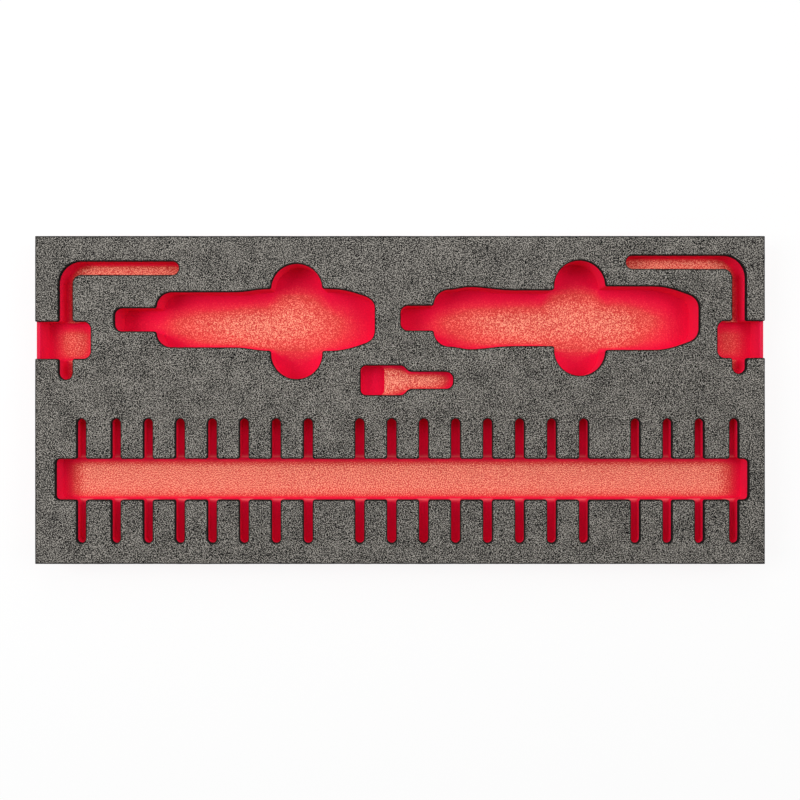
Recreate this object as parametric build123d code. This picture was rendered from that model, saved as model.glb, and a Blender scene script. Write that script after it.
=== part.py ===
from build123d import *

import os
from dataclasses import dataclass
from itertools import pairwise

# A two-colour foam insert for a tool drawer, in millimetres. A dark top sheet is laminated to a thick red
# base, and pockets for the tools are milled through the sheet into the base. The cutter rounds a pocket's
# own corners and leaves the foam's corners between two cuts sharp. +Z is up, +X runs along the drawer and
# +Y towards its back. The origin is the centre of the underside.

# The insert fills the width and depth of its drawer. Its height is the deepest handle pocket and the foam
# that is left under it.
insert_length = 525.0
insert_width = 236.0
sheet_thickness = 3.0
handle_depth = 24.5
floor_under_handles = 5.5
insert_height = handle_depth + floor_under_handles
base_height = insert_height - sheet_thickness

left = -insert_length / 2
right = insert_length / 2
front = -insert_width / 2
back = insert_width / 2

# The comb: slots for twenty long screwdriver bits, crossed by one deeper channel for the fingers. The slots
# stand in groups, evenly spread between the ends of the channel, but the outermost two a little further out.
bit_length = 89.0
bit_end_clearance = 0.7
bit_across_corners = 7.1
bit_side_clearance = 0.1
slot_length = bit_length + 2 * bit_end_clearance
slot_width = bit_across_corners + 2 * bit_side_clearance
slot_depth = 10.5
slots_from_front = 59.8
slots_in_group = (8, 8, 4)
group_gap = 37.1
first_slot_inset = 19.0
last_slot_inset = 10.9
outer_slot_shift = 1.9
channel_from_left = 14.3
channel_from_right = 11.3
channel_from_front = 60.9
channel_width = 30.3
channel_depth = 16.0
channel_corner_radius = 3.5

# The pockets for the two L-shaped wrenches, in the back corners. A finger tab crosses the shank of each one
# and runs out through the side of the sheet. A thin web of the base stays at its open end.
wrench_arm_along = 87.3
wrench_arm_across = 86.1
wrench_slot_width = 10.8
wrench_bend_radius = 11.2
wrench_depth = 16.5
left_wrench_from_side = 16.5
left_wrench_from_back = 17.7
right_wrench_from_side = 13.1
right_wrench_from_back = 13.4
left_tab_reach = 40.4
left_tab_from_back = 75.0
right_tab_reach = 34.5
right_tab_from_back = 74.4
tab_width = 27.7
tab_corner_radius = 6.0
tab_depth = 19.5
tab_web = 2.5

# The pocket for the bit adapter, in the middle, with a deep well for the fingertip at its wide end.
adapter_from_middle = -28.8
adapter_from_back = 103.8
adapter_length = 67.5
adapter_width = 22.2
adapter_wide_length = 31.0
adapter_taper_length = 4.5
adapter_taper_radius = 4.5
adapter_stem_width = 13.1
adapter_stem_radius = 5.5
adapter_corner_radius = 4.5
adapter_depth = 9.5
well_length = 17.5
well_depth = 15.5

# An obround recess for thumb and finger crosses each handle pocket, and is as deep.
finger_length = 84.1
finger_width = 38.0


@dataclass(frozen=True)
class Driver:
    """A torque driver as seen from above, with the end of its neck at X = 0 and its butt towards +X.

    Each girth is a place along the axis and the full width there, where the sides run level: the bolster
    behind the neck, then the swells and waists of the grip. The butt turns in through one more such place.
    """

    length: float
    neck_length: float
    neck_width: float
    neck_corner_radius: float
    bolster_width: float
    girths: tuple[tuple[float, float], ...]
    butt_turn: tuple[float, float]
    butt_width: float
    finger_place: float
    finger_offset: float


small_driver = Driver(
    length=188.4,
    neck_length=30.0,
    neck_width=17.7,
    neck_corner_radius=5.7,
    bolster_width=40.7,
    girths=((87.0, 40.8), (111.0, 45.4), (154.0, 45.6)),
    butt_turn=(178.0, 37.0),
    butt_width=15.0,
    finger_place=131.6,
    finger_offset=-1.2,
)
small_driver_from_left = 56.4
small_driver_from_back = 60.2

large_driver = Driver(
    length=215.9,
    neck_length=23.8,
    neck_width=18.9,
    neck_corner_radius=5.7,
    bolster_width=42.0,
    girths=((50.0, 45.8), (80.5, 41.3), (104.0, 41.2), (150.0, 46.8), (182.0, 46.8)),
    butt_turn=(205.0, 37.4),
    butt_width=14.0,
    finger_place=129.5,
    finger_offset=0.0,
)
large_driver_from_right = 46.5
large_driver_from_back = 59.0


@dataclass(frozen=True)
class Pocket:
    """A tool's pocket: its mouth through the sheet, and passes into the base as (outline, depth).

    A depth is measured from the top of the sheet.
    """

    mouth: Sketch
    passes: tuple[tuple[Sketch, float], ...]


def slot_centres():
    """X of each bit slot, at the pitch that spreads the groups over the channel."""
    first = left + channel_from_left + first_slot_inset
    last = right - channel_from_right - last_slot_inset
    gaps = len(slots_in_group) - 1
    spaces = sum(slots_in_group) - len(slots_in_group)
    pitch = (last - first - 2 * outer_slot_shift - gaps * group_gap) / spaces
    centres = []
    group_start = first + outer_slot_shift
    for count in slots_in_group:
        centres += [group_start + number * pitch for number in range(count)]
        group_start = centres[-1] + group_gap
    centres[0] = first
    centres[-1] = last
    return centres


def comb_pocket():
    """The bit slots and the finger channel across them."""
    channel_length = insert_length - channel_from_left - channel_from_right
    channel = RectangleRounded(channel_length, channel_width, channel_corner_radius)
    channel = Pos((channel_from_left - channel_from_right) / 2, front + channel_from_front) * channel
    slot = SlotOverall(slot_length, slot_width, rotation=90)
    slots = [Pos(x, front + slots_from_front) * slot for x in slot_centres()]
    mouth = channel + slots
    return Pocket(mouth, ((mouth, slot_depth), (channel, channel_depth)))


def driver_outline(driver):
    """The outline of a driver, symmetric about the X axis."""
    neck_side = driver.neck_width / 2
    bolster_side = driver.bolster_width / 2
    shoulder_radius = bolster_side - neck_side
    shoulder_end = (driver.neck_length + shoulder_radius, bolster_side)
    level_places = [shoulder_end] + [(along, width / 2) for along, width in driver.girths]
    butt_turn = (driver.butt_turn[0], driver.butt_turn[1] / 2)
    butt_end = (driver.length, driver.butt_width / 2)
    with BuildSketch() as outline:
        with BuildLine():
            Polyline((0, 0), (0, neck_side), (driver.neck_length, neck_side))
            CenterArc((shoulder_end[0], neck_side), shoulder_radius, 90, 90)
            for start, end in pairwise(level_places):
                Spline(start, end, tangents=((1, 0), (1, 0)))
            Spline(level_places[-1], butt_turn, butt_end, tangents=((1, 0), (0, -1)))
            Line(butt_end, (driver.length, 0))
            mirror(about=Plane.XZ)
        make_face()
        fillet(outline.vertices().group_by(Axis.X)[0], driver.neck_corner_radius)
    return outline.sketch


def driver_pocket(driver, neck_end, axis):
    """The pocket of one driver, placed by the X of its neck's end and the Y of its axis."""
    body = Pos(neck_end, axis) * driver_outline(driver)
    recess = SlotOverall(finger_length, finger_width, rotation=90)
    recess = Pos(neck_end + driver.finger_place, axis + driver.finger_offset) * recess
    mouth = body + recess
    return Pocket(mouth, ((mouth, handle_depth),))


def wrench_pocket(side, from_side, from_back, tab_reach, tab_from_back):
    """The pocket of the L-shaped wrench in one back corner. Side is -1 at the left and 1 at the right."""
    inset = wrench_slot_width / 2
    corner_x = side * (insert_length / 2 - from_side - inset)
    corner_y = back - from_back - inset
    arm_end = (corner_x - side * (wrench_arm_along - 2 * inset), corner_y)
    shank_end = (corner_x, corner_y - wrench_arm_across + 2 * inset)
    centre_line = FilletPolyline(arm_end, (corner_x, corner_y), shank_end, radius=wrench_bend_radius)
    slot = make_face(offset(centre_line, inset, side=Side.BOTH).edges())
    tab = RectangleRounded(2 * tab_reach, tab_width, tab_corner_radius)
    tab = Pos(side * insert_length / 2, back - tab_from_back) * tab & Rectangle(insert_length, insert_width)
    mouth = slot + tab
    inside_web = Rectangle(insert_length - 2 * tab_web, insert_width)
    return Pocket(mouth, ((mouth & inside_web, wrench_depth), (tab & inside_web, tab_depth)))


def adapter_pocket():
    """The pocket of the bit adapter: a wide part, a short taper and a stem, with a well at the wide end."""
    side = adapter_width / 2
    stem_side = adapter_stem_width / 2
    taper_end = adapter_wide_length + adapter_taper_length
    back_side = [(0, side), (adapter_wide_length, side), (taper_end, stem_side), (adapter_length, stem_side)]
    front_side = [(x, -y) for x, y in reversed(back_side)]
    back_radii = [adapter_corner_radius, adapter_taper_radius, adapter_taper_radius, adapter_stem_radius]
    radii = back_radii + back_radii[::-1]
    mouth = make_face(FilletPolyline(*back_side, *front_side, radius=radii, close=True))
    well = RectangleRounded(well_length, adapter_width, adapter_corner_radius, align=(Align.MIN, Align.CENTER))
    place = Pos(adapter_from_middle, back - adapter_from_back)
    return Pocket(place * mouth, ((place * mouth, adapter_depth), (place * well, well_depth)))


def all_pockets():
    """Every pocket of the insert."""
    small_neck_end = left + small_driver_from_left
    large_neck_end = right - large_driver_from_right - large_driver.length
    return [
        comb_pocket(),
        driver_pocket(small_driver, small_neck_end, back - small_driver_from_back),
        driver_pocket(large_driver, large_neck_end, back - large_driver_from_back),
        wrench_pocket(
            -1, left_wrench_from_side, left_wrench_from_back, left_tab_reach, left_tab_from_back
        ),
        wrench_pocket(
            1, right_wrench_from_side, right_wrench_from_back, right_tab_reach, right_tab_from_back
        ),
        adapter_pocket(),
    ]


def make_base_block(pockets):
    """The red base, with the lower part of every pocket milled into it."""
    block = extrude(Rectangle(insert_length, insert_width), base_height)
    for pocket in pockets:
        for outline, depth in pocket.passes:
            block -= Pos(0, 0, insert_height - depth) * extrude(outline, depth)
    return block


def make_top_sheet(pockets):
    """The dark sheet on the base, with the mouth of every pocket cut right through it."""
    plan = Rectangle(insert_length, insert_width)
    for pocket in pockets:
        plan -= pocket.mouth
    return Pos(0, 0, base_height) * extrude(plan, sheet_thickness)


pockets = all_pockets()
os.makedirs("parts", exist_ok=True)
export_step(make_base_block(pockets), "parts/base_block.step")
export_step(make_top_sheet(pockets), "parts/top_sheet.step")
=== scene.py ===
"""The looks of a two-colour foam insert for a tool drawer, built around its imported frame.

The frame's two solids give the plan of every cut. Each foam is made again from that plan as a fine mesh,
with the corners that foam has when it leaves the cutter: softly rounded rims, a fine groove where the two
foams are laminated, and a slight unevenness all over.
"""

from __future__ import annotations

import logging
import math
from dataclasses import dataclass, field
from enum import Enum
from itertools import pairwise
from typing import Any, Callable

import bmesh
import bpy
import numpy as np
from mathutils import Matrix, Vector
from mathutils.bvhtree import BVHTree
from mathutils.geometry import delaunay_2d_cdt
from mathutils.kdtree import KDTree

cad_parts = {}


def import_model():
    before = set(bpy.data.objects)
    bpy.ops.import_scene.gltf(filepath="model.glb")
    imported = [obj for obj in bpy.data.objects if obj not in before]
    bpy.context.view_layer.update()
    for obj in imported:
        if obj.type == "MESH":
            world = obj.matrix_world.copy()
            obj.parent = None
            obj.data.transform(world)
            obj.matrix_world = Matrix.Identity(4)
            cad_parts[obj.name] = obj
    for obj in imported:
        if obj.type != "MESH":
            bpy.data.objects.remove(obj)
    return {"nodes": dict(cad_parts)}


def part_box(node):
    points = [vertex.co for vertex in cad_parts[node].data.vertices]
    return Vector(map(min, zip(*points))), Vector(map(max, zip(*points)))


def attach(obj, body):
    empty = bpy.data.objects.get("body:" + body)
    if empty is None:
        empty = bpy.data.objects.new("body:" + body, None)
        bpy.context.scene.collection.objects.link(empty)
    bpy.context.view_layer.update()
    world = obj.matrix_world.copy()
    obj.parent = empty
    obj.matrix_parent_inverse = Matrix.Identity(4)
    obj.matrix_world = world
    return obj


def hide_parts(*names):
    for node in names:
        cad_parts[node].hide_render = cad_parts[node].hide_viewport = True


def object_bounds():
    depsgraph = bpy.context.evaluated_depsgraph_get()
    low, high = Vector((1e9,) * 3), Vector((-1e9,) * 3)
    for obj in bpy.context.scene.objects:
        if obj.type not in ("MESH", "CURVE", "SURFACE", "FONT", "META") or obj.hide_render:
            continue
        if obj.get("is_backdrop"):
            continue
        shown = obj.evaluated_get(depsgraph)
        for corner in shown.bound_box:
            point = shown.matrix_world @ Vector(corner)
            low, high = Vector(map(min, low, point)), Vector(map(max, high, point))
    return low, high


LOG = logging.getLogger("foam_insert")

# Outlines are worked out in millimetres and every mesh is made in metres.
MM = 0.001

# Heights in millimetres: the one that stands for a place where no foam is left, and one above everything.
OPEN = -1.0
FAR_ABOVE = 1000.0

Point = tuple[float, float]
Span = tuple[float, float]
Triple = tuple[float, float, float]
Colour = Triple
Edge = tuple[int, int]
Column = list[tuple[float, int]]


class Surface(Enum):
    """What left a face of the foam as it is."""

    SKIN = 0
    KNIFE = 1
    MILLED = 2


# The node trees


def operator_pair(operation: str) -> tuple[Callable[..., "Socket"], Callable[..., "Socket"]]:
    """Makes the methods of one of Python's operators on sockets.

    Args:
        operation: The operation of the Math node that they add.

    Returns:
        The operator's method, and its reflected form.
    """

    def plain(self: "Socket", other: Any) -> "Socket":
        """The operation on this value and another one."""
        return self.math(operation, self, other)

    def reflected(self: "Socket", other: Any) -> "Socket":
        """The operation on another value and this one."""
        return self.math(operation, other, self)

    return plain, reflected


class Socket:
    """An output of a node tree. Python's operators on it add Math nodes to the tree."""

    __add__, __radd__ = operator_pair("ADD")
    __sub__, __rsub__ = operator_pair("SUBTRACT")
    __mul__, __rmul__ = operator_pair("MULTIPLY")
    __truediv__, __rtruediv__ = operator_pair("DIVIDE")

    def __init__(self, tree: "Tree", link: bpy.types.NodeSocket | None) -> None:
        """Wraps one output socket of a tree."""
        self.tree = tree
        self.link = link

    def math(self, operation: str, *values: Any) -> "Socket":
        """A Math node of these values, in their order."""
        return self.tree.add("ShaderNodeMath", {"operation": operation}, dict(enumerate(values)))

    def share(self, start: float, end: float, way: str = "LINEAR") -> "Socket":
        """How far the value is on its way from start to end, from 0 to 1."""
        values = {"Value": self, "From Min": start, "From Max": end}
        return self.tree.add("ShaderNodeMapRange", {"interpolation_type": way}, values)

    def ramp(self, start: float, end: float) -> "Socket":
        """The share that starts and ends smoothly."""
        return self.share(start, end, "SMOOTHSTEP")


class Tree:
    """A node tree of a material or of Geometry Nodes, to which nodes are added by one method."""

    def __init__(self, nodes: bpy.types.NodeTree) -> None:
        """Empties a tree to build in."""
        self.nodes = nodes
        nodes.nodes.clear()

    def add(
        self,
        kind: str,
        settings: dict[str, Any] | None = None,
        values: dict[str | int, Any] | None = None,
        output: str | int = 0,
    ) -> Socket:
        """Adds one node.

        Args:
            kind: The node's type.
            settings: Its own settings, which are set first.
            values: Values or links of its input sockets, by identifier, name or place.
            output: Which of its outputs to give back.

        Returns:
            That output.
        """
        node = self.nodes.nodes.new(kind)
        for name, value in (settings or {}).items():
            setattr(node, name, value)
        for key, value in (values or {}).items():
            socket = self.find(node.inputs, key)
            if isinstance(value, Socket):
                self.nodes.links.new(value.link, socket)
            else:
                socket.default_value = value
        return Socket(self, self.find(node.outputs, output) if node.outputs else None)

    @staticmethod
    def find(sockets: Any, key: str | int) -> bpy.types.NodeSocket:
        """One of a node's sockets, by its identifier, or else by its place or its name."""
        found = [socket for socket in sockets if socket.identifier == key]
        return found[0] if found else sockets[key]

    def attribute(self, name: str) -> Socket:
        """The value of a mesh's own attribute, in a material."""
        return self.add("ShaderNodeAttribute", {"attribute_name": name}, None, "Fac")

    def blend(self, low: Any, high: Any, share: Any) -> Socket:
        """A colour between two colours.

        Args:
            low: The colour at a share of 0.
            high: The colour at a share of 1.
            share: How much of the second colour there is.

        Returns:
            The mixed colour.
        """
        low = low if isinstance(low, Socket) else (*low, 1.0)
        high = high if isinstance(high, Socket) else (*high, 1.0)
        values = {"A_Color": low, "B_Color": high, "Factor_Float": share}
        return self.add("ShaderNodeMix", {"data_type": "RGBA"}, values, "Result_Color")

    def dim(self, colour: Any, level: Any) -> Socket:
        """A colour times a level."""
        return self.add("ShaderNodeVectorMath", {"operation": "SCALE"}, {0: colour, "Scale": level})

    def noise(self, place: Socket, size: float, detail: float = 2.0) -> Socket:
        """Noise from 0 to 1 whose features are about as large as size, in metres."""
        values = {"Vector": place, "Scale": 1.0 / size, "Detail": detail}
        return self.add("ShaderNodeTexNoise", None, values, "Fac")

    def cells(self, place: Socket, size: float) -> Socket:
        """How far a place is from the middle of its foam cell, in shares of the cell's size."""
        return self.add("ShaderNodeTexVoronoi", None, {"Vector": place, "Scale": 1.0 / size}, "Distance")

    def seen_directly(self) -> Socket:
        """Tells what the camera sees from what only lights the scene.

        Returns:
            1 for what the camera sees, directly or in a reflection or through glass, and otherwise 0.
        """
        camera = self.add("ShaderNodeLightPath", None, None, "Is Camera Ray")
        glossy = Socket(self, camera.link.node.outputs["Is Glossy Ray"])
        glass = Socket(self, camera.link.node.outputs["Is Transmission Ray"])
        return camera.math("MAXIMUM", camera, camera.math("MAXIMUM", glossy, glass))


def new_material(name: str) -> tuple[bpy.types.Material, Tree, Socket]:
    """A new material.

    Args:
        name: Its name.

    Returns:
        The material, its empty tree, and the place on the object in metres.
    """
    material = bpy.data.materials.new(name)
    material.use_nodes = True
    tree = Tree(material.node_tree)
    return material, tree, tree.add("ShaderNodeTexCoord", None, None, "Object")


# The finishes


@dataclass(frozen=True)
class FoamFinish:
    """What the finishes of both foams share. Sizes are in metres.

    A pattern of cells, a finer grain and a slow drift over the foam make both its colour and its bump. The
    weights say how much of the colour's pattern comes from the cells and the drift.
    """

    name: str
    roughness: float
    cell_size: float
    grain_size: float
    drift_size: float
    cell_weight: float
    drift_weight: float
    mean_cell: float = 0.45
    mean_noise: float = 0.5
    grain_detail: float = 3.0
    cell_bump: float = 0.6
    bump_depth: float = 0.00012
    specular: float = 0.1

    def material(self) -> bpy.types.Material:
        """The finish as a new material.

        Returns:
            The material, with the colour that the finish gives it.
        """
        material, tree, place = new_material(self.name)
        cells = tree.cells(place, self.cell_size)
        grain = tree.noise(place, self.grain_size, self.grain_detail)
        drift = tree.noise(place, self.drift_size)
        colour = self.colour(tree, grain, cells - self.mean_cell, drift - self.mean_noise)
        bump = {"Height": grain + cells * self.cell_bump, "Distance": self.bump_depth, "Strength": 1.0}
        values = {
            "Base Color": colour,
            "Normal": tree.add("ShaderNodeBump", None, bump, "Normal"),
            "Roughness": self.roughness,
            "Specular IOR Level": self.specular,
        }
        shader = tree.add("ShaderNodeBsdfPrincipled", None, values)
        tree.add("ShaderNodeOutputMaterial", None, {"Surface": shader})
        return material

    def colour(self, tree: Tree, grain: Socket, cells: Socket, drift: Socket) -> Socket:
        """The colour over the surface, which each foam makes in its own way."""
        raise NotImplementedError


@dataclass(frozen=True)
class GreyFoam(FoamFinish):
    """The dark grey sheet: a split skin full of fine open cells, and a nearly black cut edge, partly its own
    dark cut foam and partly painted shade, which also covers the rounded rims of the pockets.

    The knife ramp says between which values of the attribute "surface" the skin turns to cut edge.
    """

    name: str = "grey_foam"
    roughness: float = 0.92
    cell_size: float = 0.0006
    grain_size: float = 0.00068
    drift_size: float = 0.012
    cell_weight: float = 0.25
    drift_weight: float = 0.10
    pale: Colour = (0.290, 0.272, 0.245)
    dark: Colour = (0.004, 0.004, 0.004)
    # Near black: partly the sheet's dark cut foam, partly painted shade on its cut walls and rims.
    cut_edge_and_shade: Colour = (0.009, 0.0085, 0.008)
    skin_ramp: Span = (0.51, 0.60)
    cut_ramp: Span = (0.40, 0.65)
    knife_ramp: Span = (0.2, 0.6)
    cut_grain: float = 1.2
    cut_level: float = 0.3

    def colour(self, tree: Tree, grain: Socket, cells: Socket, drift: Socket) -> Socket:
        """Pale flecks on dark cells, and hardly any on the cut edge.

        Args:
            tree: The material's tree.
            grain: The grain, from 0 to 1.
            cells: The cells, around 0.
            drift: The drift, around 0.

        Returns:
            The colour.
        """
        paleness = grain + cells * self.cell_weight + drift * self.drift_weight
        skin = tree.blend(self.dark, self.pale, paleness.ramp(*self.skin_ramp))
        cut = tree.dim(self.cut_edge_and_shade, paleness.ramp(*self.cut_ramp) * self.cut_grain + self.cut_level)
        return tree.blend(skin, cut, tree.attribute("surface").ramp(*self.knife_ramp))


@dataclass(frozen=True)
class RedFoam(FoamFinish):
    """The red base: a rich red, with painted light and painted shade on the pockets' floors: pale where light
    is painted, a darker red where shade is painted.

    The shares say over which part of a floor's paleness its ground turns from its shaded to its lit colour,
    its specks turn from their shaded to their lit colour, and the specks come up. The ramps knife_ramp and
    milled_ramp are for the attribute "surface".
    """

    name: str = "red_foam"
    roughness: float = 0.9
    cell_size: float = 0.0008
    grain_size: float = 0.00074
    drift_size: float = 0.015
    cell_weight: float = 0.2
    drift_weight: float = 0.12
    # The next four colours are lit and shaded copies of the floors' red, mixed by the attribute paleness:
    # painted light and painted shade.
    milled: Colour = (0.740, 0.285, 0.190)
    shaded_speck: Colour = (0.850, 0.130, 0.120)
    lit_ground: Colour = (0.580, 0.042, 0.040)
    shaded_ground: Colour = (0.760, 0.004, 0.048)
    knife: Colour = (0.840, 0.009, 0.064)
    # A painted highlight along the rims where a floor falls to a lower one.
    lip: Colour = (0.900, 0.150, 0.160)
    skin: Colour = (0.600, 0.014, 0.046)
    lit_ground_share: Span = (0.0, 0.25)
    lit_speck_share: Span = (0.1, 0.6)
    speck_share: Span = (0.0, 0.3)
    speck_ramp: Span = (0.41, 0.62)
    knife_ramp: Span = (0.2, 0.8)
    milled_ramp: Span = (1.2, 1.8)
    speck_fading: float = 0.12
    shaded_grain: float = 0.35
    lit_grain: float = 0.9

    def colour(self, tree: Tree, grain: Socket, cells: Socket, drift: Socket) -> Socket:
        """Pale specks on the floors, as far as light is painted there, and a plain red on the cut sides.

        Args:
            tree: The material's tree.
            grain: The grain, from 0 to 1.
            cells: The cells, around 0.
            drift: The drift, around 0.

        Returns:
            The colour.
        """
        surface = tree.attribute("surface")
        paleness = tree.attribute("paleness")
        # The grain shows more strongly where light is painted: a painted sparkle.
        contrast = paleness * self.lit_grain + self.shaded_grain
        level = (grain - self.mean_noise) * contrast + drift * self.drift_weight + 1.0
        cut = tree.blend(self.skin, self.knife, surface.ramp(*self.knife_ramp))
        # Specks show only where light is painted, and thin out under painted shade.
        pattern = grain + cells * self.cell_weight + (paleness - 1.0) * self.speck_fading
        speck = pattern.ramp(*self.speck_ramp) * paleness.share(*self.speck_share)
        # The ground and the specks each turn from a shaded copy to a lit copy: painted shade and painted
        # light.
        ground = tree.blend(self.shaded_ground, self.lit_ground, paleness.share(*self.lit_ground_share))
        lit_speck_colour = tree.blend(self.shaded_speck, self.milled, paleness.share(*self.lit_speck_share))
        floor = tree.blend(ground, lit_speck_colour, speck)
        foam = tree.dim(tree.blend(cut, floor, surface.ramp(*self.milled_ramp)), level)
        # A painted highlight along those rims.
        return tree.blend(foam, self.lip, tree.attribute("lip"))


@dataclass(frozen=True)
class Floor:
    """The white table top. What the camera sees is close to pure white and keeps the object's soft shadow.

    Far from the object, where the lamps fade, it is whitened wholly, so that no edge of the table shows.
    """

    colour: Colour = (0.80, 0.80, 0.80)
    whitening: float = 0.86
    near: float = 0.35
    far: float = 0.9

    def material(self) -> bpy.types.Material:
        """The finish as a new material.

        Returns:
            The material, made of a white light and a white foil that catches shadows.
        """
        material, tree, place = new_material("white_floor")
        diffuse = tree.add("ShaderNodeBsdfDiffuse", None, {"Color": (*self.colour, 1.0)})
        white = tree.add("ShaderNodeEmission", None, {"Color": (1.0, 1.0, 1.0, 1.0), "Strength": 1.0})
        distance = tree.add("ShaderNodeVectorMath", {"operation": "LENGTH"}, {0: place}, "Value")
        fading = distance.ramp(self.near, self.far) * (1.0 - self.whitening) + self.whitening
        share = tree.seen_directly() * fading
        shader = tree.add("ShaderNodeMixShader", None, {0: share, 1: diffuse, 2: white})
        tree.add("ShaderNodeOutputMaterial", None, {"Surface": shader})
        return material


# Outlines


@dataclass
class CutLine:
    """A line along which the foam falls away, seen from above, with the higher foam on its left."""

    points: np.ndarray
    closed: bool
    level: float


def turn_at(before: np.ndarray, here: np.ndarray, after: np.ndarray) -> float:
    """The turn of a line at one of its points, in radians, positive to the left."""
    into, out = here - before, after - here
    return math.atan2(into[0] * out[1] - into[1] * out[0], float(into @ out))


def tangent_at(before: np.ndarray, here: np.ndarray, after: np.ndarray) -> np.ndarray:
    """The direction in which a smooth line passes a point.

    Beside a long straight side it is that side's direction, and on an arc it is the arc's.

    Args:
        before: The point before.
        here: The point itself.
        after: The point after.

    Returns:
        The direction, at length 1.
    """
    much_longer = 3.0
    into = here - before
    out = after - here
    into_length = float(np.linalg.norm(into))
    out_length = float(np.linalg.norm(out))
    if into_length > much_longer * out_length:
        return into / into_length
    if out_length > much_longer * into_length:
        return out / out_length
    middle = into / into_length * out_length + out / out_length * into_length
    return middle / np.linalg.norm(middle)


def smooth_run(
    points: np.ndarray, spacing: float, ends: tuple[np.ndarray, np.ndarray] | None = None
) -> np.ndarray:
    """A smooth run of the outline through its points, divided evenly.

    Args:
        points: The points, with no sharp corner between the first and the last.
        spacing: How far apart the new points are, in millimetres.
        ends: The directions at both ends, where the run goes on smoothly there.

    Returns:
        The new points, first and last included.
    """
    chords = np.diff(points, axis=0)
    lengths = np.linalg.norm(chords, axis=1)
    directions = [tangent_at(*points[place - 1 : place + 2]) for place in range(1, len(points) - 1)]
    if ends is not None:
        first, last = ends
    elif directions:
        start_chord = chords[0] / lengths[0]
        end_chord = chords[-1] / lengths[-1]
        first = 2.0 * start_chord * float(start_chord @ directions[0]) - directions[0]
        last = 2.0 * end_chord * float(end_chord @ directions[-1]) - directions[-1]
    else:
        first = last = chords[0] / lengths[0]
    directions = [first, *directions, last]
    new_points = []
    for place, length in enumerate(lengths):
        count = max(1, round(length / spacing))
        share = (np.arange(count) / count)[:, None]
        start_pull = directions[place] * length
        end_pull = directions[place + 1] * length
        new_points.append(
            (2 * share**3 - 3 * share**2 + 1) * points[place]
            + (share**3 - 2 * share**2 + share) * start_pull
            + (3 * share**2 - 2 * share**3) * points[place + 1]
            + (share**3 - share**2) * end_pull
        )
    return np.vstack([*new_points, points[-1:]])


def trimmed(points: np.ndarray, start_cut: float, end_cut: float) -> np.ndarray:
    """A line without a length at each of its ends.

    Args:
        points: The line.
        start_cut: The length that its start loses, in millimetres.
        end_cut: The length that its end loses.

    Returns:
        The rest of the line, with its new ends.
    """
    clear_of_end = 0.05
    places = np.concatenate(([0.0], np.cumsum(np.linalg.norm(np.diff(points, axis=0), axis=1))))
    low, high = start_cut, places[-1] - end_cut
    inside = points[(places > low + clear_of_end) & (places < high - clear_of_end)]
    start, end = ([np.interp(place, places, points[:, axis]) for axis in (0, 1)] for place in (low, high))
    return np.vstack([[start], inside, [end]])


def rounded_corner(
    start: np.ndarray, corner: np.ndarray, end: np.ndarray, turn: float, step: float
) -> np.ndarray:
    """The arc that rounds a corner, without its two ends.

    Args:
        start: Where it leaves the first side.
        corner: The sharp corner.
        end: Where it joins the second side.
        turn: The turn at the corner, in radians.
        step: How far apart its points are, in millimetres.

    Returns:
        The points between the two ends.
    """
    reach = float(np.linalg.norm(corner - start))
    radius = reach / math.tan(turn / 2)
    handle = 4 / 3 * math.tan(turn / 4) * radius / reach
    count = max(2, math.ceil(turn * radius / step))
    share = (np.arange(1, count) / count)[:, None]
    first = start + (corner - start) * handle
    second = end + (corner - end) * handle
    return (
        (1 - share) ** 3 * start
        + 3 * (1 - share) ** 2 * share * first
        + 3 * (1 - share) * share**2 * second
        + share**3 * end
    )


def side_of(points: np.ndarray, distance: float, closed: bool) -> np.ndarray:
    """The line's points moved to its left.

    Args:
        points: The line.
        distance: How far, in millimetres.
        closed: Whether the last point is followed by the first.

    Returns:
        As many points as the line has.
    """
    sharpest = 0.6
    if closed:
        into = points - np.roll(points, 1, axis=0)
        out = np.roll(points, -1, axis=0) - points
    else:
        chords = np.diff(points, axis=0)
        into = np.vstack([chords[:1], chords])
        out = np.vstack([chords, chords[-1:]])
    into = into / np.linalg.norm(into, axis=1)[:, None]
    out = out / np.linalg.norm(out, axis=1)[:, None]
    middle = into + out
    middle = middle / np.linalg.norm(middle, axis=1)[:, None]
    stretch = 1 / np.clip((middle * out).sum(axis=1), sharpest, 1.0)
    left = np.column_stack((-middle[:, 1], middle[:, 0]))
    return points + left * (distance * stretch)[:, None]


# The plan of the cuts


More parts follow.
